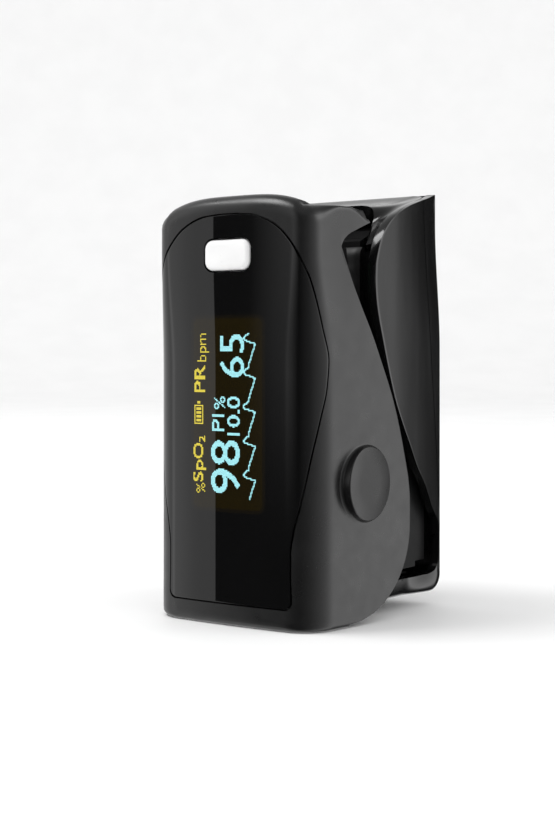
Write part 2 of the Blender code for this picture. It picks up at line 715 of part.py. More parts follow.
def aaa_cell(name, side):
    """A standard AAA cell with its raised positive end up."""
    radius, base, top = CELL_RADIUS, CELL_BOTTOM, CELL_BOTTOM + CELL_LENGTH
    profile = [
        (0, base), (radius - 0.9, base), (radius - 0.9, base + 0.25), (radius - 0.25, base + 0.25),
        (radius, base + 0.5), (radius, top - 0.4), (radius - 0.4, top), (1.9, top), (1.9, top + 0.8),
        (0, top + 0.8),
    ]
    return lathe(name, profile, (side * CELL_CENTRE[0], CELL_CENTRE[1]), "z", CELL, 32)


def battery_half():
    rear_shell()
    battery_cover()
    mouth_frame()
    rear_inner_housing()
    finger_pad("rear_finger_pad", 19.15, 17.5, 18.3, (24.0, 50.0))
    lathe("detector_window", [(0, 18.5), (2.6, 18.5), (2.6, 19.2), (0, 19.2)], (0, 38), "d", CLEAR)
    box("photodetector", (-1.2, 1.2), (19.4, 20.2), (36.8, 39.2), CHIP, 0.1)
    box("detector_board", (-2.3, 2.3), (20.35, 21.0), (33.0, 43.0), BOARD)
    top = CELL_BOTTOM + CELL_LENGTH + 0.9
    for side, word in ((-1, "left"), (1, "right")):
        aaa_cell("aaa_cell_" + word, side)
        centre_x = side * CELL_CENTRE[0]
        end_spring("cell_spring_" + word, centre_x)
        box("cell_contact_" + word, (centre_x - 4, centre_x + 4), (22.0, 30.0), (top, top + 0.3), NICKEL)
        screw("rear_screw_" + word, (side * 9.9, 23.2), 5.9, 3.2, "z")


def move_origin(piece, spot):
    """Puts the piece's origin at spot, in metres, and leaves its shape where it is."""
    piece.data.transform(Matrix.Translation(-spot))
    piece.location = spot


def middle_of(piece):
    points = [vertex.co for vertex in piece.data.vertices]
    low = Vector([min(axis) for axis in zip(*points)])
    high = Vector([max(axis) for axis in zip(*points)])
    return (low + high) / 2


def own_origins(pieces):
    """Each piece turns about its own middle, and those that slide have their origin on their axis."""
    for piece in pieces:
        spot = middle_of(piece)
        if piece.name in ("power_button", "switch_plunger"):
            spot = Vector((0, spot.y, BUTTON[2] * 0.001))
        move_origin(piece, spot)


def hang_on_pivot(pieces):
    """Parents the battery half to an empty on the hinge axis."""
    pivot = bpy.data.objects.new("battery_half_pivot", None)
    pivot.location = place(0, *PIVOT)
    bpy.context.scene.collection.objects.link(pivot)
    for piece in pieces:
        piece.parent = pivot
        piece.location -= pivot.location


display_half()
display_pieces = list(bpy.data.objects)
battery_half()
battery_pieces = [piece for piece in bpy.data.objects if piece not in display_pieces]
own_origins(display_pieces + battery_pieces)
hang_on_pivot(battery_pieces)
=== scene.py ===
"""Looks of the fingertip pulse oximeter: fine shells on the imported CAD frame, lit readout and materials.

Shapes are worked out in millimetres as (x, depth, height), as in the CAD model: depth runs back from the
button's face, and height up from the floor. place() turns them into metres in the row frame.
"""

import json
import math

import bmesh
import bpy
import numpy as np
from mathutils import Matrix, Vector
from mathutils.bvhtree import BVHTree


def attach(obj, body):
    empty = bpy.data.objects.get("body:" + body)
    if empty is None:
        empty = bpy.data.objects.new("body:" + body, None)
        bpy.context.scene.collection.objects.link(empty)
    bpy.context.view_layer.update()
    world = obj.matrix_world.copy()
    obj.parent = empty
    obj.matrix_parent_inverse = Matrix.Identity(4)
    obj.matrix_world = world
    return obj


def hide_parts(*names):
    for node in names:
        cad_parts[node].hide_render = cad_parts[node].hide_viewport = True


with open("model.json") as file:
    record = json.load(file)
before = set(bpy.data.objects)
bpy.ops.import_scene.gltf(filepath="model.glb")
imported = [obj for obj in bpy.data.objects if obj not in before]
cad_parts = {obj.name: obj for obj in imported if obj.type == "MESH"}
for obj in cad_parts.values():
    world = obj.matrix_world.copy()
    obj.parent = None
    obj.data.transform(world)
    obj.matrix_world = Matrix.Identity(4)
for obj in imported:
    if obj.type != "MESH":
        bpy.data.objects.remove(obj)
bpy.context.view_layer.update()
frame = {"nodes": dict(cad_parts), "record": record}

# Driving dimensions, the CAD model's own
DEPTH = 32.5
PIVOT = (11.4, 18.5)
OPEN_FACE = 0.4
CROWN = 0.3
WALL = 1.4
FRONT_WALL = 2.1
FRONT_TOP = 56.2
WING_TOP = 54.5
ROOF = 54.2
SIDE_LEAN = 0.14
LAST_ANGLE = math.radians(82)
BOSS_RADIUS = 4.9
BOSS_STEP = 1.38  # how far the boss stands out at its front
FRONT_RIM = (
    (12.5, 20.5), (15.7, 20.5), (18.4, 20.2), (21.7, 19.4), (25.2, 18.4), (29.2, 17.0),
    (34.3, 14.6), (37.8, 12.8), (41.7, 10.5), (44.9, 8.8), (47.4, 7.5), (48.4, 7.05), (49.2, 7.0),
    (49.9, 7.3), (50.5, 7.8), (51.0, 8.5), (51.5, 9.6), (52.1, 11.0), (52.7, 12.5), (53.1, 13.6),
)
PANEL = (
    (3.0, 8.9), (3.3, 9.5), (4.0, 9.8), (7.0, 9.7), (10.0, 9.7), (13.3, 10.2), (16.3, 10.95),
    (22.0, 12.0), (27.0, 12.8), (31.0, 13.25), (34.5, 13.35), (38.5, 13.0), (44.7, 12.1), (46.5, 11.5),
    (48.6, 10.5), (50.3, 9.2), (51.6, 7.8), (52.6, 6.0), (53.2, 4.2), (53.45, 2.6), (53.5, 1.2),
)
PANEL_THICK = 0.9
BUTTON = (7.3, 4.05, 48.3)
SCREEN = (5.6, 15.25, 40.05)
SCREEN_BORDER = 0.45
BACK_WALL = 1.2
SIDE_HALF = 15.2
REAR_FLOOR = 1.9
REAR_RIM = (
    (4.5, 20.0), (4.65, 28.3), (5.4, 30.0), (7.2, 30.7), (11.3, 30.8), (14.1, 28.5), (17.2, 26.4),
    (20.0, 23.8), (22.9, 21.8), (25.9, 19.7), (29.2, 17.7), (33.9, 15.7), (38.0, 14.2), (40.3, 13.4),
    (42.8, 12.8), (44.9, 12.6), (47.0, 12.7), (49.1, 13.3), (50.9, 14.2), (52.6, 15.8), (54.0, 17.8),
    (54.9, 19.8), (55.7, 22.1), (56.6, 25.6), (57.3, 28.6), (57.9, 30.9),
)
SEAM = ((8.0, 31.7), (21.8, 30.0), (38.7, 27.8), (45.0, 27.2), (56.6, 26.2), (60.0, 25.9))


def place(x, depth, height):
    return (x * 0.001, (depth - DEPTH / 2) * 0.001, height * 0.001)


def smooth_step(low, high, value):
    t = min(1.0, max(0.0, (value - low) / (high - low)))
    return t * t * (3 - 2 * t)


class Outline:
    """A smooth curve through a table of points, without overshoot."""

    def __init__(self, table):
        self.at = np.array([a for a, _ in table])
        self.value = np.array([b for _, b in table])
        step, rise = np.diff(self.at), np.diff(self.value)
        slope = rise / step
        self.tangent = np.zeros(len(table))
        for i in range(1, len(table) - 1):
            before, after = slope[i - 1], slope[i]
            if before * after > 0:
                w1, w2 = 2 * step[i] + step[i - 1], step[i] + 2 * step[i - 1]
                self.tangent[i] = (w1 + w2) / (w1 / before + w2 / after)
        self.tangent[0], self.tangent[-1] = slope[0], slope[-1]

    def __call__(self, where):
        where = min(max(where, self.at[0]), self.at[-1])
        i = min(int(np.searchsorted(self.at, where, "right")) - 1, len(self.at) - 2)
        step = self.at[i + 1] - self.at[i]
        t = (where - self.at[i]) / step
        start, end = self.value[i], self.value[i + 1]
        first, last = self.tangent[i] * step, self.tangent[i + 1] * step
        return float(
            (2 * t**3 - 3 * t**2 + 1) * start + (t**3 - 2 * t**2 + t) * first
            + (3 * t**2 - 2 * t**3) * end + (t**3 - t**2) * last
        )


front_rim_curve, rear_rim_curve = Outline(FRONT_RIM), Outline(REAR_RIM)
panel_curve, seam_curve = Outline(PANEL), Outline(SEAM)


# Camera


def add_camera():
    data = bpy.data.cameras.new("camera")
    data.sensor_fit = "VERTICAL"
    data.sensor_height = 36.0
    data.lens = 64.9
    data.shift_y = -0.0745
    data.clip_start = 0.01
    camera = bpy.data.objects.new("camera", data)
    camera.location = (0.1187, -0.1709, 0.0354)
    camera.rotation_euler = (math.radians(90), 0, math.radians(35.5))
    bpy.context.scene.collection.objects.link(camera)
    bpy.context.scene.camera = camera


# Materials


class Look:
    """A Principled material and the nodes hung on it."""

    def __init__(self, name, colour, roughness, **sockets):
        self.material = bpy.data.materials.new(name)
        self.material.use_nodes = True
        self.tree = self.material.node_tree
        self.shader = self.tree.nodes["Principled BSDF"]
        self.shader.inputs["Base Color"].default_value = (*colour, 1)
        self.shader.inputs["Roughness"].default_value = roughness
        for socket, value in sockets.items():
            self.shader.inputs[socket.replace("_", " ")].default_value = value
        self.place = self.tree.nodes.new("ShaderNodeTexCoord").outputs["Object"]

    def node(self, kind, **values):
        made = self.tree.nodes.new("ShaderNode" + kind)
        for name, value in values.items():
            if name in made.inputs:
                made.inputs[name].default_value = value
            else:
                setattr(made, name, value)
        return made

    def maths(self, operation, first, second=None):
        made = self.node("Math", operation=operation)
        for socket, value in zip(made.inputs, (first, second)):
            if isinstance(value, float):
                socket.default_value = value
            elif value is not None:
                self.tree.links.new(value, socket)
        return made.outputs[0]

    def noise(self, scale, detail=2.0, stretch=None):
        """Noise in the object's own space. scale is in cells per metre."""
        noise = self.node("TexNoise", Scale=scale, Detail=detail)
        source = self.place
        if stretch:
            mapping = self.node("Mapping", Scale=stretch)
            self.tree.links.new(source, mapping.inputs["Vector"])
            source = mapping.outputs["Vector"]
        self.tree.links.new(source, noise.inputs["Vector"])
        return noise.outputs["Fac"]

    def spread(self, value, low, high, socket):
        """Drives a socket between two values with a 0 to 1 pattern."""
        ramp = self.node("MapRange")
        ramp.inputs["From Min"].default_value = 0.3
        ramp.inputs["From Max"].default_value = 0.7
        ramp.inputs["To Min"].default_value = low
        ramp.inputs["To Max"].default_value = high
        self.tree.links.new(value, ramp.inputs["Value"])
        self.tree.links.new(ramp.outputs["Result"], self.shader.inputs[socket])
        return self

    def blend(self, value, first, second):
        mix = self.node("Mix", data_type="RGBA")
        mix.inputs["A"].default_value = (*first, 1)
        mix.inputs["B"].default_value = (*second, 1)
        ramp = self.node("MapRange")
        ramp.inputs["From Min"].default_value = 0.35
        ramp.inputs["From Max"].default_value = 0.65
        self.tree.links.new(value, ramp.inputs["Value"])
        self.tree.links.new(ramp.outputs["Result"], mix.inputs["Factor"])
        self.tree.links.new(mix.outputs["Result"], self.shader.inputs["Base Color"])
        return self

    def bump(self, value, depth_mm, strength=1.0):
        bump = self.node("Bump", Strength=strength, Distance=depth_mm * 0.001)
        self.tree.links.new(value, bump.inputs["Height"])
        self.tree.links.new(bump.outputs["Normal"], self.shader.inputs["Normal"])
        return self


def moulded(name, colour, lighter, roughness, texture=0.004, **sockets):
    """Moulded plastic: faint mottling, uneven gloss and a fine spark-eroded grain."""
    look = Look(name, colour, roughness, **sockets)
    look.blend(look.noise(260, 3), colour, lighter)
    look.spread(look.noise(420, 4), roughness - 0.04, roughness + 0.05, "Roughness")
    return look.bump(look.noise(9000, 2), texture, 0.5)


def polished(name, colour, roughness, **sockets):
    """Polished dark plastic with faint wipe marks in its gloss."""
    look = Look(name, colour, roughness, **sockets)
    look.blend(look.noise(180, 2), colour, tuple(c * 1.15 for c in colour))
    marks = look.noise(500, 4, (1, 1, 0.15))
    return look.spread(marks, 0.6 * roughness, 1.3 * roughness, "Roughness")


def metal(name, colour, roughness, stretch):
    look = Look(name, colour, roughness, Metallic=1.0)
    look.blend(look.noise(700, 3), colour, tuple(c * 0.85 for c in colour))
    look.spread(look.noise(2500, 3, stretch), roughness - 0.08, roughness + 0.1, "Roughness")
    return look.bump(look.noise(6000, 2, stretch), 0.002, 0.4)


def glowing(name, colour, strength):
    look = Look(name, (0.02, 0.02, 0.02), 0.3)
    look.shader.inputs["Emission Color"].default_value = (*colour, 1)
    look.shader.inputs["Emission Strength"].default_value = strength
    look.blend(look.noise(9000, 1), (0.02, 0.02, 0.02), (0.05, 0.05, 0.05))
    return look


LOOKS = {
    "satin_black": moulded("satin_black", (0.0045, 0.0045, 0.0046), (0.0058, 0.0058, 0.006), 0.3),
    "gloss_black": polished("gloss_black", (0.003, 0.003, 0.0031), 0.16),
    "smoked_panel": polished("smoked_panel", (0.0015, 0.0015, 0.0016), 0.015),
    "white_plastic": moulded("white_plastic", (0.8, 0.8, 0.8), (0.84, 0.84, 0.84), 0.3, 0.002),
    "black_silicone": moulded("black_silicone", (0.008, 0.008, 0.008), (0.012, 0.012, 0.012), 0.55, 0.01),
    "dark_plastic": moulded(
        "dark_plastic", (0.006, 0.006, 0.0062), (0.008, 0.008, 0.0082), 0.45, 0.008, Specular_IOR_Level=0.12,
    ),
    "clear_window": moulded(
        "clear_window", (0.3, 0.04, 0.03), (0.34, 0.05, 0.04), 0.1, 0.001, Coat_Weight=0.5,
    ),
    "circuit_board": moulded("circuit_board", (0.01, 0.09, 0.035), (0.02, 0.13, 0.05), 0.4, 0.01),
    "steel": metal("steel", (0.55, 0.55, 0.56), 0.28, (1, 1, 0.1)),
    "nickel": metal("nickel", (0.66, 0.62, 0.54), 0.25, (0.1, 1, 1)),
    "cell_jacket": polished("cell_jacket", (0.03, 0.032, 0.036), 0.25, Metallic=0.4),
    "chip_black": moulded("chip_black", (0.02, 0.02, 0.021), (0.026, 0.026, 0.027), 0.45, 0.006),
    "amber_light": glowing("amber_light", (0.86, 0.70, 0.03), 1.0),
    "cyan_light": glowing("cyan_light", (0.40, 0.93, 1.0), 1.05),
}


def tint_screen(look):
    """A browner rounded window inside the face plate's colour, with a dimmer printed border line."""
    half, low, high = SCREEN
    parts = look.node("SeparateXYZ")
    look.tree.links.new(look.place, parts.inputs[0])
    reach = []
    for axis, centre, extent in (("X", 0.0, half), ("Z", (low + high) / 2, (high - low) / 2)):
        moved = look.maths("SUBTRACT", parts.outputs[axis], centre * 0.001)
        size = look.maths("ABSOLUTE", moved)
        over = look.maths("SUBTRACT", size, (extent - 0.8) * 0.001)
        reach.append(look.maths("MAXIMUM", over, 0.0))
    squares = [look.maths("MULTIPLY", value, value) for value in reach]
    away = look.maths("SQRT", look.maths("ADD", *squares))
    border = (0.8 + SCREEN_BORDER, (0.0045, 0.0034, 0.0018, 1))
    window = (0.8, (0.0088, 0.0058, 0.0005, 1))
    for reach, tint in (border, window):
        inside = look.node("MapRange", interpolation_type="SMOOTHSTEP")
        inside.inputs["From Min"].default_value = (reach + 0.03) * 0.001
        inside.inputs["From Max"].default_value = (reach - 0.03) * 0.001
        look.tree.links.new(away, inside.inputs["Value"])
        mix = look.node("Mix", data_type="RGBA")
        link = look.shader.inputs["Base Color"].links[0]
        look.tree.links.new(link.from_socket, mix.inputs["A"])
        mix.inputs["B"].default_value = tint
        look.tree.links.new(inside.outputs["Result"], mix.inputs["Factor"])
        look.tree.links.new(mix.outputs["Result"], look.shader.inputs["Base Color"])


tint_screen(LOOKS["smoked_panel"])


# Mesh helpers


def new_object(name, points, faces, look, rims=(), lowest_round=-1.0):
    """A smooth object from points in millimetres. rims are closed runs of points for a bevel to round."""
    shape = bmesh.new()
    weight = shape.edges.layers.float.new("bevel_weight_edge")
    verts = [shape.verts.new(place(*p)) for p in points]
    for face in faces:
        shape.faces.new([verts[i] for i in face])
    for rim in rims:
        for a, b in zip(rim, rim[1:] + rim[:1]):
            edge = shape.edges.get((verts[a], verts[b]))
            if edge and min(verts[a].co.z, verts[b].co.z) > lowest_round * 0.001:
                edge[weight] = 1.0
    bmesh.ops.remove_doubles(shape, verts=shape.verts, dist=2e-6)
    bmesh.ops.dissolve_degenerate(shape, edges=shape.edges, dist=1e-6)
    bmesh.ops.recalc_face_normals(shape, faces=shape.faces)
    mesh = bpy.data.meshes.new(name)
    shape.to_mesh(mesh)
    shape.free()
    mesh.shade_smooth()
    made = bpy.data.objects.new(name, mesh)
    mesh.materials.append(LOOKS[look].material)
    bpy.context.scene.collection.objects.link(made)
    return made


def tidy_faces(points, faces):
    """Drops the repeated corner of a face that touches an axis or a point where rows meet."""
    kept = []
    for face in faces:
        seen = {}
        for i in face:
            seen.setdefault(tuple(round(c, 5) for c in points[i]), i)
        if len(seen) > 2:
            kept.append(tuple(seen.values()))
    return kept


def skin_between(name, outer, inner, look, lowest_round=-1.0):
    """One closed wall between two grids of points that have the same rows and columns."""
    rows, columns = len(outer), len(outer[0])
    points = [p for row in outer for p in row] + [p for row in inner for p in row]
    shift = rows * columns
    faces = []
    for i in range(rows - 1):
        for j in range(columns - 1):
            a, b = i * columns + j, (i + 1) * columns + j
            faces.append((a, a + 1, b + 1, b))
            faces.append((shift + a, shift + b, shift + b + 1, shift + a + 1))
    edge = [i * columns for i in range(rows)]
    edge += [(rows - 1) * columns + j for j in range(1, columns)]
    edge += [i * columns + columns - 1 for i in range(rows - 2, -1, -1)]
    edge += list(range(columns - 2, 0, -1))
    for a, b in zip(edge, edge[1:] + edge[:1]):
        faces.append((a, b, shift + b, shift + a))
    rims = (edge, [shift + i for i in edge])
    return new_object(name, points, tidy_faces(points, faces), look, rims, lowest_round)


def lathe(name, profile, centre, along, look, sides=64):
    """A closed (radius, position) profile turned about an axis along x, d or z through centre."""
    points = []
    for i in range(sides):
        turn = 2 * math.pi * (i + 0.37) / sides
        for radius, level in profile:
            a = centre[0] + radius * math.cos(turn)
            b = centre[1] + radius * math.sin(turn)
            points.append({"x": (level, a, b), "d": (a, level, b), "z": (a, b, level)}[along])
    return new_object(name, points, tidy_faces(points, ring_faces(sides, len(profile))), look)


def ring_faces(sides, n):
    faces = []
    for i in range(sides):
        after = (i + 1) % sides
        for j in range(n - 1):
            faces.append((i * n + j, after * n + j, after * n + j + 1, i * n + j + 1))
    return faces


def prism(name, outline, span, plane, look):
    """An outline of two coordinates swept over a span. plane names the two axes that the outline is in."""
    order = {"xz": (0, 2, 1), "dz": (1, 2, 0), "xd": (0, 1, 2)}[plane]
    points = []
    for level in span:
        for a, b in outline:
            spot = [0.0, 0.0, 0.0]
            spot[order[0]], spot[order[1]], spot[order[2]] = a, b, level
            points.append(spot)
    n = len(outline)
    faces = [tuple(range(n)), tuple(range(2 * n - 1, n - 1, -1))]
    faces += [(i, (i + 1) % n, n + (i + 1) % n, n + i) for i in range(n)]
    return new_object(name, points, faces, look)


def rounded_rectangle(width, tall, radius, centre, steps=8):
    """Points round a rectangle with round corners, centred at (x, height)."""
    points = []
    for k, (sx, sz) in enumerate(((1, 1), (-1, 1), (-1, -1), (1, -1))):
        for i in range(steps + 1):
            turn = math.pi / 2 * (k + i / steps)
            x = sx * (width / 2 - radius) + radius * math.cos(turn)
            z = sz * (tall / 2 - radius) + radius * math.sin(turn)
            points.append((centre[0] + x, centre[1] + z))
    return points


def bevel(target, width_mm, segments=3, by_weight=False, angle=40):
    rounding = target.modifiers.new("edges", "BEVEL")
    rounding.width = width_mm * 0.001
    rounding.segments = segments
    rounding.limit_method = "WEIGHT" if by_weight else "ANGLE"
    rounding.angle_limit = math.radians(angle)
    rounding.use_clamp_overlap = True
    return target


def apply_all(target):
    """Makes the modifiers' result the object's own mesh."""
    bpy.context.view_layer.update()
    graph = bpy.context.evaluated_depsgraph_get()
    mesh = bpy.data.meshes.new_from_object(target.evaluated_get(graph))
    target.modifiers.clear()
    target.data = mesh
    return target


def apply_boolean(target, cutter, operation="DIFFERENCE"):
    work = target.modifiers.new("cut", "BOOLEAN")
    work.operation = operation
    work.solver = "EXACT"
    work.object = cutter
    apply_all(target)
    bpy.data.objects.remove(cutter)
    return target


def sharpen(target, angle=38):
    """Smooth shading that breaks at edges sharper than this."""
    target.data.shade_smooth()
    target.data.set_sharp_from_angle(angle=math.radians(angle))
    return target


# The display half's shell


def front_corner(height):
    upper = smooth_step(33, 50, height)
    return 5.0 - 2.0 * upper, 8.93 + 1.07 * upper


def front_point(height, step, counts, rim_depth, inset):
    """A point on one half of the section: crown, round corner, then the leaning side, moved in by inset."""
    crown, corner, side = counts
    radius, start = front_corner(height)
    slope = math.atan(0.6 / start)
    centre_x = start - radius * math.sin(slope)
    centre_d = OPEN_FACE + CROWN + radius * math.cos(slope)
    if step <= crown:
        x = start * step / crown
        angle = slope * step / crown
        depth = OPEN_FACE + CROWN * (x / start) ** 2
    elif step <= crown + corner:
        angle = slope + (LAST_ANGLE - slope) * (step - crown) / corner
        x = centre_x + radius * math.sin(angle)
        depth = centre_d - radius * math.cos(angle)
    else:
        angle = LAST_ANGLE
        first_d = centre_d - radius * math.cos(angle)
        depth = first_d + (rim_depth - first_d) * (step - crown - corner) / side
        back = depth - first_d
        flare = 0.5 * smooth_step(34, 48, height) * smooth_step(0, 9, back)
        x = centre_x + radius * math.sin(angle) + SIDE_LEAN * back + flare
    return x - inset * math.sin(angle), depth + inset * math.cos(angle)


def front_rim(height):
    if height < 12.5:
        return 8.4 + 12.1 * math.sqrt(max(0.0, 1 - ((12.5 - height) / 12) ** 2))
    return front_rim_curve(height)


def front_top(x, depth):
    """Height of the top edge at this place on the wall."""
    side = WING_TOP - 1.6 * smooth_step(8.5, 12.5, depth)
    front = max(WING_TOP, FRONT_TOP - 2.0 * (abs(x) / 12) ** 3.5)
    return front + (side - front) * smooth_step(2.0, 4.0, depth)


def closing_row(row, middle, share, level=100.0):
    """The row drawn back to a line across the half, and down to level, as its bottom or top wall."""
    end_x, end_d, _ = row[-1]
    made = []
    for x, depth, height in row:
        line = middle + (end_d - middle) * min(1.0, x / end_x) ** 4
        sunk = height - max(0.0, height - level) * smooth_step(0, 0.75, share)
        made.append((x, depth + share * (line - depth), sunk))
    return made


def front_skin(inset, side_inset, heights, counts, floor, highest):
    """Rows of points over bottom wall, sides and front, and top wall. floor is the bottom wall's level."""
    last = sum(counts)
    curl = 1.0 if inset == 0 else 0.3
    turns = [math.pi / 2 * i / 6 for i in range(1, 7)]
    plan = [(floor + curl * (1 - math.sin(a)), curl * (1 - math.cos(a)), 0.0) for a in turns[::-1]]
    plan += [(height, 0.0, 0.0) for height in heights]
    plan += [(highest, 0.0, 0.0)]
    plan += [(highest, 1 - math.cos(a), 1 - math.sin(a)) for a in turns]
    rows = []
    for number, (height, extra, drop) in enumerate(plan):
        half = []
        over_top = number > len(turns) + len(heights)
        for step in range(last + 1):
            share = smooth_step(last - counts[2] - counts[1] / 2, last - counts[2] * 0.8, step)
            own = inset + (side_inset - inset) * share
            x, depth = front_point(height, step, counts, front_rim(height), own)
            lift = smooth_step(40, highest, height) if step < last else 0.0
            round_over = 2.2 - 1.8 * smooth_step(2.5, 7, depth)
            if inset:
                round_over = 0.3
            top = front_top(x, depth) - own - round_over
            level = height + lift * (top - highest)
            shift = own + extra * (round_over if over_top else 1.0)
            x, depth = front_point(level, step, counts, front_rim(height), shift)
            if over_top:
                level += round_over * (1 - drop)
            half.append((x, depth, level))
        rows.append(half)
    shares = [i / 6 for i in range(1, 7)]
    rows = [closing_row(rows[0], 8.4, share) for share in shares[::-1]] + rows
    rows += [closing_row(rows[-1], 9.0, share, ROOF - inset) for share in shares]
    return [[(-x, d, z) for x, d, z in row[:0:-1]] + row for row in rows]


def front_heights():
    """Levels up the sides, close together where the rim turns."""
    low = [1.35 + 14 * (i / 22) ** 1.5 for i in range(23)]
    middle = [16.3 + i * 0.85 for i in range(37)]
    high = [47.4 + i * 0.27 for i in range(19)]
    return low + middle + high


def front_shell():
    counts = (14, 16, 34)
    heights = front_heights()
    outer = front_skin(0.0, 0.0, heights, counts, 0.0, 52.6)
    inner_heights = [WALL + 0.4 + (height - 1.2) * 0.962 for height in heights]
    inner = front_skin(FRONT_WALL, WALL, inner_heights, counts, WALL, 51.6)
    shell = skin_between("front_shell_skin", outer, inner, "satin_black")
    apply_all(bevel(shell, 0.28, 3, by_weight=True))
    for side in (-1, 1):
        profile = [(0, 1.9), (2.3, 1.9), (2.3, 10.4), (0, 10.4)]
        apply_boolean(shell, lathe("post", profile, (side * 7.0, 8.2), "d", "satin_black"), "UNION")
        hole = [(0, 4.0), (0.95, 4.0), (0.95, 12.0), (0, 12.0)]
        apply_boolean(shell, lathe("cutter", hole, (side * 7.0, 8.2), "d", "satin_black", 32))
    apply_boolean(shell, panel_body("cutter", 0.22, -0.8, PANEL_THICK + 0.2, 96, 48))
    width, tall, centre = BUTTON
    outline = rounded_rectangle(width + 0.4, tall + 0.4, 1.4, (0, centre))
    apply_boolean(shell, prism("cutter", outline, (0, 4), "xz", "satin_black"))
    outline = rounded_rectangle(2 * SCREEN[0], SCREEN[2] - SCREEN[1], 0.8, (0, (SCREEN[1] + SCREEN[2]) / 2))
    apply_boolean(shell, prism("cutter", outline, (0, 4), "xz", "satin_black"))
    return sharpen(shell)


def side_at(depth):
    """x of the leaning side on the lower half."""
    x, first_d = front_point(20, 2, (1, 1, 1), 20, 0)
    return x + SIDE_LEAN * (depth - first_d)


def boss(side):
    """The raised disc over the hinge. Its face is upright, so it meets the leaning cheek at the back."""
    face = side_at(PIVOT[0] - BOSS_RADIUS) + BOSS_STEP
    sides = 144
    points = []
    for i in range(sides):
        turn = 2 * math.pi * i / sides
        across, up = math.cos(turn), math.sin(turn)
        step = max(0.03, face - side_at(PIVOT[0] + BOSS_RADIUS * across))
        edge, fillet = min(0.2, 0.6 * step), min(0.42, 0.5 * step)
        ring = [(0.0, face), (2.5, face)]
        for k in range(6):
            a = math.pi / 2 * k / 5
            ring.append((BOSS_RADIUS - edge + edge * math.sin(a), face + edge * (math.cos(a) - 1)))
        for k in range(10):
            a = math.pi / 2 * k / 9
            radius = BOSS_RADIUS + 0.9 * fillet * (1 - math.cos(a))
            foot = min(side_at(PIVOT[0] + radius * across), face - step)
            ring.append((radius, foot + fillet * (1 - math.sin(a)) + 0.01))
        ring.append((radius + 0.4, foot - 0.05))
        points += [(side * x, PIVOT[0] + r * across, PIVOT[1] + r * up) for r, x in ring]
    name = "pivot_boss_" + ("left" if side < 0 else "right")
    return new_object(name, points, tidy_faces(points, ring_faces(sides, len(ring))), "satin_black")


# The face plate, its screen and its button


def panel_point(height, share, margin, offset):
    """A point on the face at a share of the plate's half width, moved in by offset."""
    radius, start = front_corner(height)
    slope = math.atan(0.6 / start)
    centre_x = start - radius * math.sin(slope)
    low, high = PANEL[0][0] - margin, PANEL[-1][0] + margin
    inside = PANEL[0][0] + (height - low) / (high - low) * (PANEL[-1][0] - PANEL[0][0])
    edge = panel_curve(inside)
    reach = edge
    if edge > start:
        reach = start + radius * (math.asin((edge - centre_x) / radius) - slope)
    return face_point(height, share * (reach + margin), offset)


def face_point(height, along, offset):
    """A point on the face at a distance along its section from the middle, moved in by offset."""
    radius, start = front_corner(height)
    slope = math.atan(0.6 / start)
    if abs(along) > start:
        angle = slope + (abs(along) - start) / radius
        x = start - radius * math.sin(slope) + radius * math.sin(angle)
        depth = OPEN_FACE + CROWN + radius * math.cos(slope) - radius * math.cos(angle)
    else:
        angle = slope * abs(along) / start
        x = abs(along)
        depth = OPEN_FACE + CROWN * (x / start) ** 2
    side = -1 if along < 0 else 1
    return side * (x - offset * math.sin(angle)), depth + offset * math.cos(angle), height


def panel_body(name, margin, front, back, rows, columns, look="smoked_panel"):
    """The plate between two offsets from the face, larger all round by margin."""
    low, high = PANEL[0][0] - margin, PANEL[-1][0] + margin
    levels = []
    for i in range(rows + 1):
        t = i / rows
        eased = 0.5 - 0.5 * math.cos(math.pi * t)
        levels.append(low + (high - low) * (0.35 * t + 0.65 * eased))
    shares = [2 * i / columns - 1 for i in range(columns + 1)]
    outer = [[panel_point(level, share, margin, front) for share in shares] for level in levels]
    inner = [[panel_point(level, share, margin, back) for share in shares] for level in levels]
    return skin_between(name, outer, inner, look)


def faceplate():
    plate = panel_body("faceplate_skin", 0.0, 0.0, PANEL_THICK, 150, 120)
    apply_all(bevel(plate, 0.12, 2, by_weight=True))
    width, tall, centre = BUTTON
    outline = rounded_rectangle(width + 0.4, tall + 0.4, 1.45, (0, centre))
    apply_boolean(plate, prism("cutter", outline, (-1, 4), "xz", "smoked_panel"))
    return sharpen(plate)


def power_button():
    width, tall, centre = BUTTON
    rings = ((0.0, 3.2), (0.0, 0.75), (0.09, 0.4), (0.3, 0.15), (0.55, 0.06), (0.85, 0.03))
    points = []
    for inset, depth in rings:
        corner = max(1.25 - inset, 0.4)
        ring = rounded_rectangle(width - 2 * inset, tall - 2 * inset, corner, (0, centre), 10)
        points += [(x, depth, z) for x, z in ring]
    n = len(points) // len(rings)
    faces = []
    for k in range(len(rings) - 1):
        for i in range(n):
            after = (i + 1) % n
            faces.append((k * n + i, k * n + after, (k + 1) * n + after, (k + 1) * n + i))
    faces.append(tuple(range(n)))
    faces.append(tuple(range((len(rings) - 1) * n, len(rings) * n)))
    cap = new_object("power_button_cap", points, faces, "white_plastic")
    flange = rounded_rectangle(width + 1.4, tall + 1.4, 1.4, (0, centre))
    apply_boolean(cap, prism("flange", flange, (2.65, 3.25), "xz", "white_plastic"), "UNION")
    return sharpen(cap, 50)


# The readout: a grid of 128 by 64 lit dots, with its text running up the device

DOT = 0.168
DOT_FILL = 0.86
FIRST_HEIGHT, FIRST_X = 16.6, -5.45


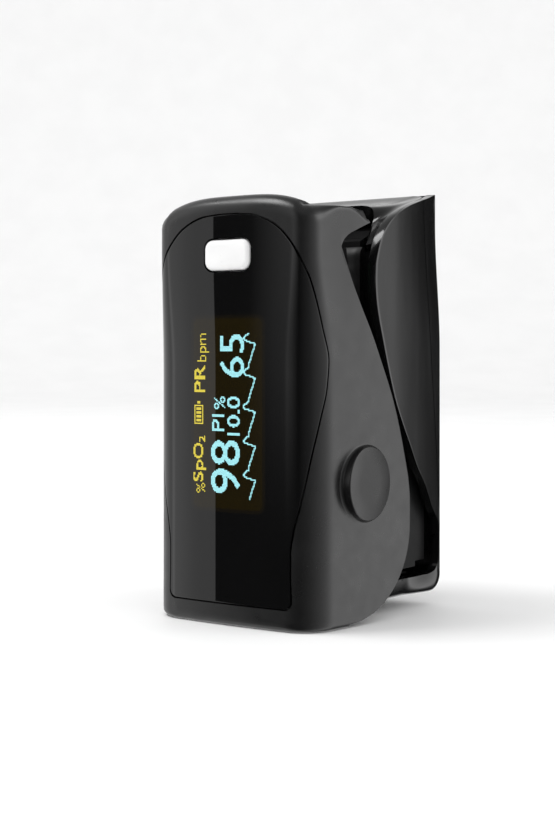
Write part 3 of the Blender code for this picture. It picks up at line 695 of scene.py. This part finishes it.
def text_dots(words, column, row, tall, wide, bold=0.0):
    """Dots (column, row) that a piece of text covers. row is its top, and tall and wide its size in dots.

    bold is how far, in dots, a dot's centre may lie outside the letter's own edge.
    """
    data = bpy.data.curves.new("words", "FONT")
    data.body = words
    made = bpy.data.objects.new("words", data)
    bpy.context.scene.collection.objects.link(made)
    bpy.context.view_layer.update()
    graph = bpy.context.evaluated_depsgraph_get()
    mesh = bpy.data.meshes.new_from_object(made.evaluated_get(graph))
    spots = np.array([tuple(v.co) for v in mesh.vertices])
    low, high = spots.min(axis=0), spots.max(axis=0)
    shape = bmesh.new()
    shape.from_mesh(mesh)
    tree = BVHTree.FromBMesh(shape)
    shape.free()
    bpy.data.objects.remove(made)
    dots = []
    for i in range(wide):
        for j in range(tall):
            for du, dv in ((0, 0), (bold, 0), (-bold, 0), (0, bold), (0, -bold)):
                x = low[0] + (high[0] - low[0]) * (i + 0.5 + du) / wide
                y = high[1] - (high[1] - low[1]) * (j + 0.5 + dv) / tall
                if tree.ray_cast(Vector((x, y, 1)), Vector((0, 0, -1)))[0]:
                    dots.append((column + i, row + j))
                    break
    return dots


def battery_dots(column, row, wide, tall):
    """An outlined cell with four bars and a small cap at its end."""
    dots = [(column + i, row + j) for i in range(wide) for j in (0, tall - 1)]
    dots += [(column + i, row + j) for i in (0, wide - 1) for j in range(tall)]
    dots += [(column + wide + 1 - 3 + i, row + j) for i in (3, 4) for j in range(3, tall - 3)]
    for bar in range(4):
        dots += [(column + 2 + 3 * bar + i, row + j) for i in (0, 1) for j in range(2, tall - 2)]
    return dots


def wave_dots(row):
    """Five heartbeats as a joined line of dots. The pulse rises fast, notches, then falls slowly."""
    beat = ((0.0, 0.0), (0.1, 0.9), (0.16, 1.0), (0.24, 0.8), (0.32, 0.5), (0.38, 0.55), (1.0, 0.0))
    period, tall, start = 26.2, 11, 14.0
    levels = []
    for column in range(128):
        phase = ((column - start) / period) % 1.0
        value = float(np.interp(phase, [a for a, _ in beat], [b for _, b in beat]))
        levels.append(row + tall - int(round(value * tall)))
    dots = []
    for column, level in enumerate(levels):
        before = levels[column - 1] if column else level
        low, high = sorted((before, level))
        dots += [(column, j) for j in range(low, high + 1)]
    return dots


def dot_sheet(name, dots, look):
    """Each lit dot as a small raised tile on the face."""
    points, faces = [], []
    size = DOT * DOT_FILL / 2
    for column, row in sorted(set(dots)):
        height = FIRST_HEIGHT + (column + 0.5) * DOT
        x = FIRST_X + (row + 0.5) * DOT
        base = len(points)
        for dx, dz in ((-size, -size), (size, -size), (size, size), (-size, size)):
            points.append(face_point(height + dz, x + dx, -0.03))
        for dx, dz in ((-size, -size), (size, -size), (size, size), (-size, size)):
            points.append(face_point(height + dz, x + dx, -0.014))
        a = [base + k for k in range(8)]
        faces += [(a[0], a[1], a[2], a[3]), (a[7], a[6], a[5], a[4])]
        faces += [(a[k], a[k + 4], a[(k + 1) % 4 + 4], a[(k + 1) % 4]) for k in range(4)]
    made = new_object(name, points, faces, look)
    made.data.shade_flat()
    return made


def readout():
    amber = text_dots("%", 3, 2, 9, 8, 0.0) + text_dots("Sp", 12, -1, 13, 17, 0.2)
    amber += text_dots("O", 30, -1, 10, 12, 0.2) + text_dots("2", 43, 5, 6, 5, 0.1)
    amber += battery_dots(57, 0, 15, 9)
    amber += text_dots("PR", 82, 0, 11, 21, 0.2) + text_dots("bpm", 106, 3, 12, 22, 0.0)
    cyan = text_dots("98", 4, 17, 28, 41, 0.15)
    cyan += text_dots("PI", 52, 18, 12, 13, 0.15) + text_dots("%", 69, 20, 11, 10, 0.0)
    cyan += text_dots("10.0", 49, 33, 12, 30, 0.2)
    cyan += text_dots("65", 94, 26, 23, 33, 0.1)
    cyan += wave_dots(48)
    return [dot_sheet("readout_amber", amber, "amber_light"), dot_sheet("readout_cyan", cyan, "cyan_light")]


# The battery half's shell, cover and mouth


def rear_side(depth, lower):
    return SIDE_HALF - (1.7 - 0.75 * lower) * (max(0.0, depth - 17) / 14.5) ** 2


def rear_point(height, step, counts, rim_depth, inset, back_inset):
    """A point on one half of the battery half's section, from the middle of its back to its rim."""
    crown, corner, side = counts
    lower = 1 - smooth_step(36, 54, height)
    flat, radius = 12.0 + 0.75 * lower, 1.6
    turn = math.radians(85)
    if step <= crown:
        x = flat * step / crown
        angle = 0.0
        depth = DEPTH - 0.2 * (x / flat) ** 2
    elif step <= crown + corner:
        angle = turn * (step - crown) / corner
        x = flat + radius * math.sin(angle)
        depth = DEPTH - 0.2 - radius * (1 - math.cos(angle))
    else:
        angle = math.radians(88)
        first = DEPTH - 0.2 - radius * (1 - math.cos(turn))
        depth = first + (rim_depth - first) * (step - crown - corner) / side
        x = rear_side(depth, lower)
    narrow = 13.2 + 1.25 * smooth_step(24, 31, depth)
    x -= max(0.0, x - narrow) * (1 - smooth_step(5.5, 8, height))
    return x - inset * math.sin(angle), depth - back_inset * math.cos(angle)


def rear_skin(inset, heights, counts, floor):
    """Rows of points over the battery half's bottom wall, sides and back."""
    last = sum(counts)
    curl = REAR_RIM[0][0] - floor
    plan = []
    for angle in [math.pi / 2 * (12 - i) / 12 for i in range(12)]:
        plan.append((floor + curl * (1 - math.sin(angle)), curl * (1 - math.cos(angle))))
    plan += [(height, 0.0) for height in heights]
    rows = []
    for height, extra in plan:
        half = []
        rim = rear_rim_curve(height) if height > REAR_RIM[0][0] else REAR_RIM[0][1]
        for step in range(last + 1):
            x, depth = rear_point(height, step, counts, rim, inset + 0.6 * extra, inset + 0.9 * extra)
            half.append((x, depth, height))
        rows.append(half)
    first = rows[0]
    rows = [bottom_row(first, share) for share in [(6 - i) / 6 for i in range(6)]] + rows
    return [[(-x, d, z) for x, d, z in row[:0:-1]] + row for row in rows]


def bottom_row(row, share):
    """The lowest row drawn forwards to even steps along the bottom wall's front edge."""
    end_x, end_d, _ = row[-1]
    made = []
    for step, (x, depth, height) in enumerate(row):
        even = end_x * step / (len(row) - 1)
        made.append((x + share * (even - x), depth + share * (end_d - depth), height))
    return made


def rear_heights():
    levels = [4.5, 4.54, 4.58, 4.65, 4.8, 5.05, 5.4, 5.9, 6.5, 7.2, 8.1, 9.0, 10.0, 11.0, 12.0, 12.7]
    levels += [13.4 + 0.7 * i for i in range(49)]
    levels += [47.4 + 0.42 * i for i in range(19)]
    levels += [55.2 + 0.25 * i for i in range(11)] + [57.9]
    return levels


def rear_body(name):
    counts = (10, 8, 36)
    heights = rear_heights()
    outer = rear_skin(0.0, heights, counts, REAR_FLOOR)
    inner = rear_skin(BACK_WALL, heights, counts, REAR_FLOOR + BACK_WALL)
    body = skin_between(name, outer, inner, "gloss_black", 5.6)
    return apply_all(bevel(body, 0.22, 3, by_weight=True))


def seam_outline(gap, bottom):
    steps = 40
    line = []
    for i in range(steps + 1):
        height = SEAM[0][0] + (60.0 - SEAM[0][0]) * i / steps
        line.append((seam_curve(height) + gap, height))
    line[0] = (line[0][0], bottom)
    return line + [(40.0, 60.0), (40.0, bottom)]


def rear_shell():
    shell = rear_body("rear_shell_skin")
    apply_boolean(shell, prism("cutter", seam_outline(-0.1, 8.0), (-20, 20), "dz", "gloss_black"))
    for side in (-1, 1):
        profile = [(0, 2.2), (2.0, 2.2), (2.0, 4.5), (0, 4.5)]
        apply_boolean(shell, lathe("post", profile, (side * 9.9, 23.2), "z", "gloss_black", 40), "UNION")
    return sharpen(shell)


def battery_cover():
    cover = rear_body("battery_cover_skin")
    keep = prism("cutter", seam_outline(0.1, 8.25), (-20, 20), "dz", "gloss_black")
    apply_boolean(cover, keep, "INTERSECT")
    dish = [(0, DEPTH - 0.45), (3.8, DEPTH - 0.4), (4.9, DEPTH - 0.2)]
    dish += [(5.5, DEPTH + 0.1), (5.5, DEPTH + 2), (0, DEPTH + 2)]
    apply_boolean(cover, lathe("cutter", dish, (0, 46), "d", "gloss_black", 96))
    for i in range(3):
        grip = 20.5 + 2.2 * i
        outline = rounded_rectangle(14, 1.0, 0.48, (0, grip))
        apply_boolean(cover, prism("cutter", outline, (DEPTH - 0.45, DEPTH + 1), "xz", "gloss_black"))
    return sharpen(cover)


MOUTH = (
    ((0.0, 30.6, 57.95), (0.0, 23.0, 56.2)),
    ((5.0, 30.6, 57.95), (4.4, 23.0, 56.2)),
    ((10.0, 30.5, 57.9), (7.0, 22.9, 56.1)),
    ((12.2, 29.6, 57.6), (8.3, 22.6, 55.7)),
    ((13.3, 27.2, 57.0), (8.9, 22.2, 55.0)),
    ((14.3, 23.2, 56.0), (9.05, 21.9, 54.0)),
    ((14.8, 19.2, 54.7), (9.1, 21.2, 52.9)),
    ((14.95, 16.2, 52.9), (9.3, 20.2, 51.6)),
    ((15.0, 14.3, 50.6), (9.7, 18.6, 50.2)),
)


def mouth_frame():
    """The flared frame round the finger opening: rim to lip, with a rolled lip and a short throat."""
    columns = 12
    outer, inner = [], []
    spots = np.array(MOUTH)
    at = np.arange(len(MOUTH))
    fine = np.linspace(0, len(MOUTH) - 1, columns * 6 + 1)
    rim = np.stack([smooth_through(at, spots[:, 0, k], fine) for k in range(3)], axis=1)
    lip = np.stack([smooth_through(at, spots[:, 1, k], fine) for k in range(3)], axis=1)
    shares = [i / 14 for i in range(15)]
    for share in shares:
        bow = math.sin(math.pi * share)
        row = rim + (lip - rim) * share
        top = np.clip((13.0 - rim[:, 0]) / 2.0, 0, 1)
        row[:, 1] += bow * (0.15 + 0.35 * (1 - top))
        row[:, 2] -= bow * 0.4 * top
        outer.append(row)
    inward = np.array([(-0.35, 0.55, -0.75)])
    for share, drop in ((0.35, 0.12), (0.75, 0.5), (1.0, 1.2)):
        outer.append(lip + inward * share * 0.8 + np.array([(0, 0.3 * drop, -0.6 * drop)]))
    for row in outer:
        row[:, 2] = np.minimum(row[:, 2], 57.88)
        back = row + np.array([(0, 0.75, -0.75)])
        back[:, 0] *= 0.975
        inner.append(back)
    both = []
    for rows in (outer, inner):
        both.append([[(-x, d, z) for x, d, z in row[:0:-1]] + [tuple(p) for p in row] for row in rows])
    frame_piece = skin_between("mouth_frame_skin", both[0], both[1], "gloss_black")
    return sharpen(frame_piece, 60)


def smooth_through(at, values, fine):
    """A Catmull-Rom curve through the values."""
    padded = np.concatenate([[2 * values[0] - values[1]], values, [2 * values[-1] - values[-2]]])
    i = np.minimum(fine.astype(int), len(at) - 2)
    t = fine - i
    p0, p1, p2, p3 = padded[i], padded[i + 1], padded[i + 2], padded[i + 3]
    square = (2 * p0 - 5 * p1 + 4 * p2 - p3) * t**2
    cube = (3 * p1 - p0 - 3 * p2 + p3) * t**3
    return 0.5 * (2 * p1 + (p2 - p0) * t + square + cube)


# Silicone pads


def finger_pad(name, node, flat, rim, hollow, heights):
    """A hollowed silicone pad with soft edges, cross ribs and a round hole for the light."""
    half = 9.3
    columns, rows = 40, 90
    outer, inner = [], []
    way = 1 if rim > flat else -1
    for j in range(rows + 1):
        z = heights[0] + (heights[1] - heights[0]) * j / rows
        end = min(z - heights[0], heights[1] - z)
        fall = 0.7 * max(0.0, 1 - end / 1.2) ** 2
        rib = 0.09 * math.cos(2 * math.pi * z / 2.4) * smooth_step(1.5, 3.0, end)
        rib *= smooth_step(4.2, 5.6, abs(z - 38))
        front, back = [], []
        for i in range(columns + 1):
            x = half * (2 * i / columns - 1)
            edge = 0.5 * max(0.0, 1 - (half - abs(x)) / 0.9) ** 2
            surface = rim + (hollow - rim) * (1 - (x / half) ** 2)
            front.append((x, surface - way * (fall + edge + rib * (1 - (x / half) ** 4)), z))
            back.append((x, flat, z))
        outer.append(front)
        inner.append(back)
    pad = skin_between(name, outer, inner, "black_silicone")
    hole = [(0, flat - 5), (2.9, flat - 5), (2.9, flat + 5), (0, flat + 5)]
    apply_boolean(pad, lathe("cutter", hole, (0, 38), "d", "black_silicone"))
    sharpen(pad, 50)
    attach(pad, BODY_OF[node])
    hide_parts(node)
    return pad


BODY_OF = {}
for body_name, body_nodes in frame["record"]["behaviour"]["bodies"].items():
    for node_name in body_nodes:
        BODY_OF[node_name] = body_name
SLOT_OF = {entry["node"]: entry["material_slot"] for entry in frame["record"]["subparts"]}


def stand_in(piece, node):
    """The piece rides with the node's body and is shown in its place."""
    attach(piece, BODY_OF[node])
    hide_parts(node)


def carry_over():
    """The CAD nodes that stay in view: their finish, and rounded edges on the square ones."""
    for name, node in frame["nodes"].items():
        node.data.materials.clear()
        node.data.materials.append(LOOKS[SLOT_OF[name]].material)
        if name in REMADE:
            continue
        if name.endswith(("housing", "board")) or name.startswith(("display", "cell_contact")):
            bevel(node, 0.12, 2, angle=50)
        node.data.set_sharp_from_angle(angle=math.radians(35))


REMADE = (
    "front_shell", "faceplate", "power_button", "rear_shell", "battery_cover", "mouth_frame",
    "front_finger_pad", "rear_finger_pad",
)


# Floor and light


def floor():
    look = Look("floor_paper", (0.93, 0.93, 0.93), 0.6)
    look.blend(look.noise(30, 2), (0.92, 0.92, 0.92), (0.94, 0.94, 0.94))
    points, faces = [], []
    width, back, front, curve = 3000.0, 1400.0, -2500.0, 500.0
    profile = [(front, 0.0), (back - curve, 0.0)]
    turns = np.linspace(0.1, math.pi / 2, 12)
    profile += [(back - curve + curve * math.sin(a), curve * (1 - math.cos(a))) for a in turns]
    profile.append((back, 2600.0))
    turn = math.radians(35.5)
    for side in (-width, width):
        for away, height in profile:
            x = side * math.cos(turn) - away * math.sin(turn)
            y = side * math.sin(turn) + away * math.cos(turn)
            points.append((x, y + DEPTH / 2, height - 0.01))
    n = len(profile)
    faces = [(i, n + i, n + i + 1, i + 1) for i in range(n - 1)]
    LOOKS["floor_paper"] = look
    sheet = new_object("floor", points, faces, "floor_paper")
    sheet.visible_glossy = False


def area_light(name, spot, aim, size, power, colour=(1, 1, 1)):
    data = bpy.data.lights.new(name, "AREA")
    data.shape = "RECTANGLE"
    data.size, data.size_y = size
    data.energy = power
    data.color = colour
    made = bpy.data.objects.new(name, data)
    made.location = spot
    way = Vector(aim) - Vector(spot)
    made.rotation_euler = way.to_track_quat("-Z", "Y").to_euler()
    bpy.context.scene.collection.objects.link(made)
    return made


# Brightness of the studio by azimuth in degrees: the front is 0, the right 90 and the back 180
LEFT = ((-180, 0.02), (-175, 0.02), (-168, 0.9), (-64, 0.9), (-52, 1.75), (-43, 0.85), (0, 0.85))
STUDIO = (
    (-180, 0.06), (20, 0.06), (53, 0.28), (67, 0.48), (80, 0.64), (100, 0.95), (118, 1.5), (130, 2.1),
    (142, 2.1), (148, 0.9), (153, 0.35), (160, 0.1), (168, 0.03), (180, 0.02),
)
EDGE = -39.5
STRIP = ((-180, 0.0), (-34, 0.0), (-29, 0.45), (-18, 1.1), (-6, 0.8), (14, 0.03), (30, 0.0), (180, 0.0))
BRIGHTEST = 4.0


def ramp_of(tree, share, levels):
    """Brightness by azimuth, from a table of (degrees, level)."""
    node = tree.nodes.new("ShaderNodeValToRGB")
    ramp = node.color_ramp
    while len(ramp.elements) < len(levels):
        ramp.elements.new(1.0)
    for element, (angle, level) in zip(ramp.elements, levels):
        element.position = (angle + 180) / 360
        element.color = (level / BRIGHTEST,) * 3 + (1,)
    tree.links.new(share, node.inputs[0])
    return node.outputs["Color"]


def studio_world():
    """A white studio with dark screens, seen in reflections. Everything else sees plain white."""
    world = bpy.data.worlds.new("studio")
    world.use_nodes = True
    world.cycles.sampling_method = "NONE"
    tree = world.node_tree

    def put(kind, first, second=None, **values):
        node = tree.nodes.new("ShaderNode" + kind)
        for name, value in values.items():
            setattr(node, name, value)
        for socket, value in zip(node.inputs, (first, second)):
            if isinstance(value, float):
                socket.default_value = value
            elif value is not None:
                tree.links.new(value, socket)
        return node

    def by_height(low, high):
        node = put("MapRange", parts["Z"], low, interpolation_type="SMOOTHSTEP")
        node.inputs["From Max"].default_value = high
        return node.outputs["Result"]

    def mixed(share, first, second):
        node = put("Mix", share, data_type="FLOAT")
        for name, value in (("A", first), ("B", second)):
            if isinstance(value, float):
                node.inputs[name].default_value = value
            else:
                tree.links.new(value, node.inputs[name])
        return node.outputs["Result"]

    parts = put("SeparateXYZ", tree.nodes.new("ShaderNodeTexCoord").outputs["Generated"]).outputs
    front = put("Math", parts["Y"], -1.0, operation="MULTIPLY").outputs[0]
    turn = put("Math", parts["X"], front, operation="ARCTAN2").outputs[0]
    share = put("Math", turn, 2 * math.pi, operation="DIVIDE").outputs[0]
    share = put("Math", share, 0.5, operation="ADD").outputs[0]
    strip = put("Math", ramp_of(tree, share, STRIP), by_height(-0.14, 0.12), operation="MULTIPLY").outputs[0]
    past = put("Math", share, (EDGE + 180) / 360, operation="GREATER_THAN").outputs[0]
    level = mixed(past, ramp_of(tree, share, LEFT), ramp_of(tree, share, STUDIO))
    level = put("Math", level, strip, operation="ADD").outputs[0]
    level = mixed(by_height(0.5, 0.85), level, 0.4 / BRIGHTEST)
    seen = tree.nodes.new("ShaderNodeLightPath").outputs["Is Glossy Ray"]
    level = mixed(seen, PLAIN_LIGHT / BRIGHTEST, level)
    level = put("Math", level, BRIGHTEST, operation="MULTIPLY").outputs[0]
    tree.links.new(level, tree.nodes["Background"].inputs["Strength"])
    tree.nodes["Background"].inputs["Color"].default_value = (1, 1, 1, 1)
    bpy.context.scene.world = world


PLAIN_LIGHT = 1.0


def lights():
    studio_world()
    area_light("key_box", (-0.35, -0.25, 0.75), (0, 0, 0.0), (0.35, 0.35), 3.0)
    area_light("far_box", (0.55, 0.25, 0.3), (0, 0, 0.0), (0.3, 0.3), 0.5)


def main():
    bpy.context.scene.view_settings.view_transform = "Standard"
    add_camera()
    carry_over()
    stand_in(front_shell(), "front_shell")
    for side in (-1, 1):
        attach(boss(side), "display_half")
    stand_in(faceplate(), "faceplate")
    for piece in readout():
        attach(piece, "display_half")
    stand_in(power_button(), "power_button")
    stand_in(rear_shell(), "rear_shell")
    stand_in(battery_cover(), "battery_cover")
    stand_in(mouth_frame(), "mouth_frame")
    finger_pad("front_pad_soft", "front_finger_pad", 12.05, 13.6, 12.7, (27.5, 49.0))
    finger_pad("rear_pad_soft", "rear_finger_pad", 19.15, 17.5, 18.3, (24.0, 50.0))
    floor()
    lights()


main()
